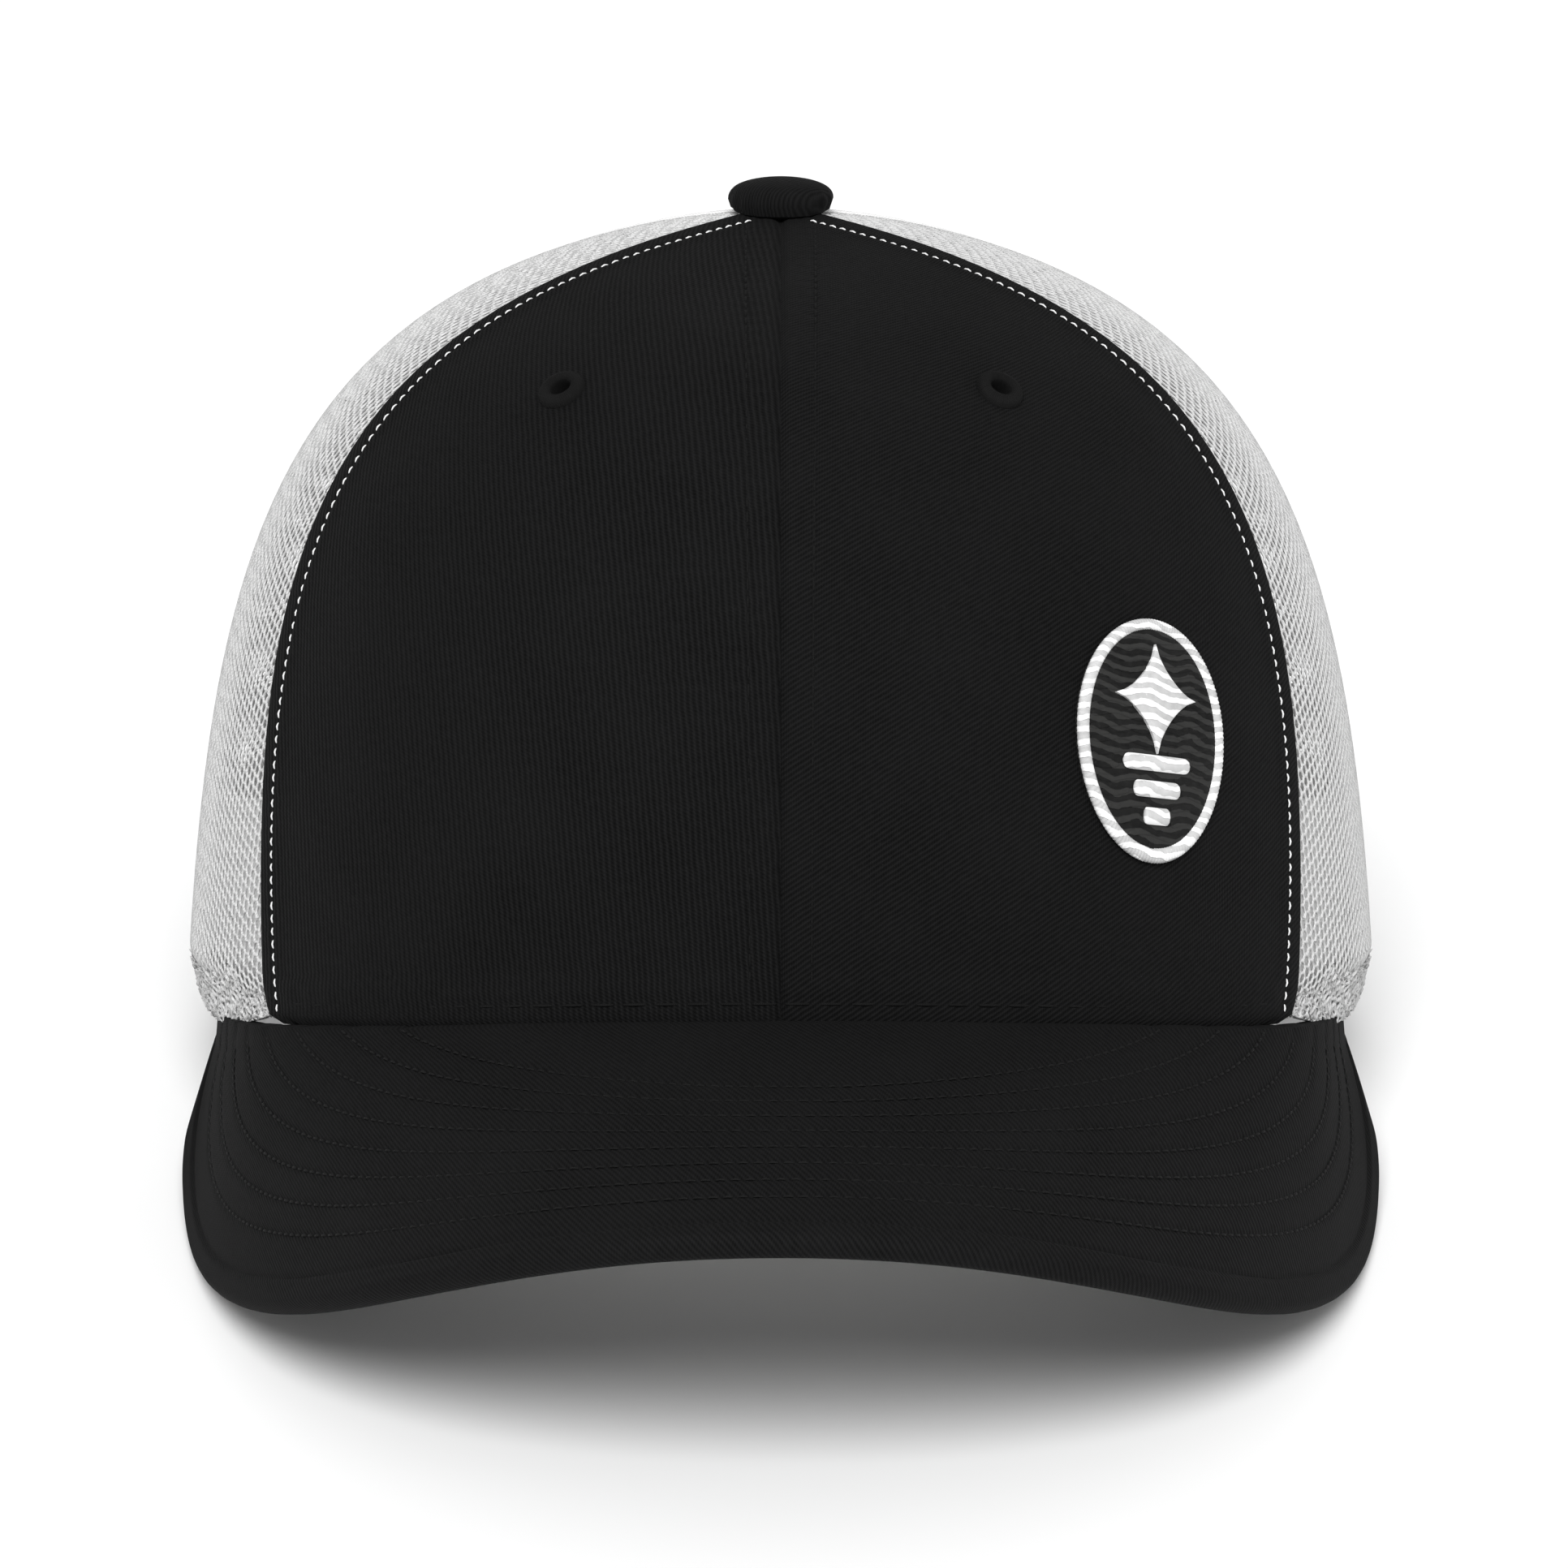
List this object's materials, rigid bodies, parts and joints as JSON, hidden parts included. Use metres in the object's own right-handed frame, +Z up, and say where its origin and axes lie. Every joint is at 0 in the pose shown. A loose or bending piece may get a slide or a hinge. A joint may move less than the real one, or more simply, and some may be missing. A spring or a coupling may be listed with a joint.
{
  "type": "trucker mesh cap",
  "caption": "Trucker cap with a stiffened black front, white open-mesh sides and back, a curved stitched visor, a covered top button and a snap strap closure.",
  "frame": {"origin": "centre of the footprint's box, on the surface that the cap stands on", "axes": "+Z up, -Y towards the wearer's front, where the visor points, +X towards the wearer's left. The crown is tipped back by 10.7 degrees, because the cap stands on the low sides of its visor and on its back rim"},
  "size_m": [0.1788, 0.2628, 0.1356],
  "materials": {
    "black_twill": "matt cotton twill with a fine diagonal rib",
    "white_net": "knitted polyester net with open cells",
    "buckram": "stiff open-weave backing",
    "seam_tape": "woven cotton tape",
    "sweatband_cloth": "soft brushed cotton twill",
    "white_binding": "plain woven tape folded over the edge",
    "black_thread": "satin thread",
    "badge_thread": "satin embroidery thread",
    "label_cloth": "woven satin label, blank",
    "plated_steel": "nickel-plated",
    "visor_board_plastic": "moulded sheet",
    "strap_plastic": "soft moulded plastic, satin"
  },
  "bodies": {
    "crown": {"front_panel_left": "black_twill", "front_panel_right": "black_twill", "buckram_left": "buckram", "buckram_right": "buckram", "side_mesh_left": "white_net", "side_mesh_right": "white_net", "back_mesh_left": "white_net", "back_mesh_right": "white_net", "front_seam_tape": "seam_tape", "front_side_seam_tape_left": "seam_tape", "front_side_seam_tape_right": "seam_tape", "side_back_seam_tape_left": "seam_tape", "side_back_seam_tape_right": "seam_tape", "back_seam_tape": "seam_tape", "sweatband": "sweatband_cloth", "arch_binding": "white_binding", "eyelet_left": "black_thread", "eyelet_right": "black_thread", "badge_patch": "badge_thread", "main_label": "label_cloth", "care_label": "label_cloth", "button_cover": "black_twill", "button_shell": "plated_steel", "button_tack": "plated_steel", "hole_strap_tab": "strap_plastic", "peg_strap_tab": "strap_plastic"},
    "visor": {"visor_top_cover": "black_twill", "visor_board": "visor_board_plastic", "visor_under_cover": "black_twill"},
    "hole_strap": {"hole_strap": "strap_plastic"},
    "peg_strap": {"peg_strap": "strap_plastic"}
  },
  "joints": [
    {"name": "visor_flex", "type": "hinge", "parent": "crown", "child": "visor", "pos_m": [0, 0.01431, 0.02929], "axis": [-1, 0, 0], "range_deg": [-2, 4], "stiffness_Nm_per_rad": 1.2},
    {"name": "hole_strap_open", "type": "hinge", "parent": "crown", "child": "hole_strap", "pos_m": [0.04253, 0.11432, 0.01345], "axis": [0, -0.1857, -0.9826], "range_deg": [0, 45], "stiffness_Nm_per_rad": 0.02},
    {"name": "peg_strap_flex", "type": "hinge", "parent": "crown", "child": "peg_strap", "pos_m": [-0.04248, 0.11367, 0.01357], "axis": [0, -0.1857, -0.9826], "range_deg": [0, 25], "stiffness_Nm_per_rad": 0.02}
  ]
}
